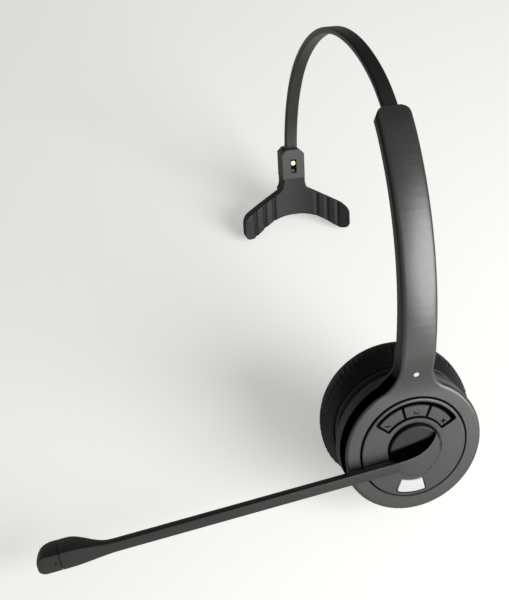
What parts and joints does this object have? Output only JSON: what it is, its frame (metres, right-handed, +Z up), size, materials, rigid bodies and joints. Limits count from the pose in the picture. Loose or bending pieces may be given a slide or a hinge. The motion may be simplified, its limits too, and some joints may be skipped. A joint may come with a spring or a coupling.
{
  "type": "office headset",
  "caption": "Single-ear wireless office headset with a microphone boom, round cup of keys, ear cushion, slim sprung headband and temple rest.",
  "frame": {"origin": "bottom centre of the bounding box, on the table that the headset lies on", "axes": "+Z up from the table; +Y from the ear cup to the temple rest; +X to the wearer's rear, so the boom points along -X"},
  "size_m": [0.1866, 0.2112, 0.1522],
  "materials": {
    "shell_plastic": "satin",
    "panel_plastic": "satin",
    "key_plastic": "satin",
    "mute_key_plastic": "gloss",
    "band_plastic": "satin",
    "pad_rubber": "matt",
    "leatherette": "soft satin",
    "cloth": "matt",
    "spring_steel": "brushed",
    "screw_steel": "blackened",
    "brass": "satin",
    "circuit": "satin",
    "battery_foil": "satin",
    "friction_polymer": "satin",
    "diaphragm_film": "clear film",
    "light_lens": "frosted",
    "inner_plastic": "satin"
  },
  "bodies": {
    "ear_cup": {"outer_shell": "shell_plastic", "inner_shell": "shell_plastic", "face_panel": "panel_plastic", "circuit_board": "circuit", "tact_switches": "inner_plastic", "radio_module": "screw_steel", "battery": "battery_foil", "charging_socket": "spring_steel", "status_light": "light_lens", "shell_screws": "screw_steel", "ball_retainer": "inner_plastic", "retainer_screws": "screw_steel", "friction_spring": "spring_steel"},
    "boom": {"boom_arm": "shell_plastic", "mic_end_cap": "shell_plastic", "mic_boot": "pad_rubber", "mic_capsule": "battery_foil", "friction_washer": "friction_polymer", "boom_retainer": "inner_plastic", "pivot_screw": "screw_steel"},
    "headband": {"headband_cover": "band_plastic", "headband_core": "spring_steel", "band_stop": "inner_plastic", "clip_rivet": "brass"},
    "temple_rest": {"clip_front": "shell_plastic", "clip_back": "shell_plastic", "temple_pad": "pad_rubber", "temple_core": "inner_plastic"},
    "speaker": {"ball_stud": "inner_plastic", "speaker_housing": "shell_plastic", "speaker_baffle": "inner_plastic", "driver_frame": "inner_plastic", "driver_magnet": "spring_steel", "driver_diaphragm": "diaphragm_film", "speaker_cloth": "cloth", "cushion_clip_ring": "inner_plastic", "ear_cushion": "leatherette"},
    "volume_down": {"volume_down_key": "key_plastic"},
    "call": {"call_key": "key_plastic"},
    "volume_up": {"volume_up_key": "key_plastic"},
    "mute": {"mute_key": "mute_key_plastic"}
  },
  "joints": [
    {"name": "boom_swing", "type": "hinge", "parent": "ear_cup", "child": "boom", "pos_m": [0.05871, -0.09178, 0.04297], "axis": [0, 0.8902, -0.4555], "range_deg": [-220, 80]},
    {"name": "headband_extend", "type": "hinge", "parent": "ear_cup", "child": "headband", "pos_m": [0.05871, 0.03222, 0.0432], "axis": [-1, 0, 0], "range_deg": [0, 13.18]},
    {"name": "temple_rock", "type": "hinge", "parent": "headband", "child": "temple_rest", "pos_m": [0.05871, 0.09323, 0.03383], "axis": [0, 0.8902, -0.4555], "range_deg": [-6, 6]},
    {"name": "speaker_swivel", "type": "hinge", "parent": "ear_cup", "child": "speaker", "pos_m": [0.05871, -0.08252, 0.03823], "axis": [0, 0.4555, 0.8902], "range_deg": [-2.7, 17.3]},
    {"name": "volume_down_key_press", "type": "slide", "parent": "ear_cup", "child": "volume_down", "axis": [0, 0.8902, -0.4555], "range_m": [0, 0.00035], "stiffness_N_per_m": 300, "springref_m": -0.0005},
    {"name": "call_key_press", "type": "slide", "parent": "ear_cup", "child": "call", "axis": [0, 0.8902, -0.4555], "range_m": [0, 0.00035], "stiffness_N_per_m": 300, "springref_m": -0.0005},
    {"name": "volume_up_key_press", "type": "slide", "parent": "ear_cup", "child": "volume_up", "axis": [0, 0.8902, -0.4555], "range_m": [0, 0.00035], "stiffness_N_per_m": 300, "springref_m": -0.0005},
    {"name": "mute_key_press", "type": "slide", "parent": "ear_cup", "child": "mute", "axis": [0, 0.8902, -0.4555], "range_m": [0, 0.00035], "stiffness_N_per_m": 300, "springref_m": -0.0005}
  ]
}
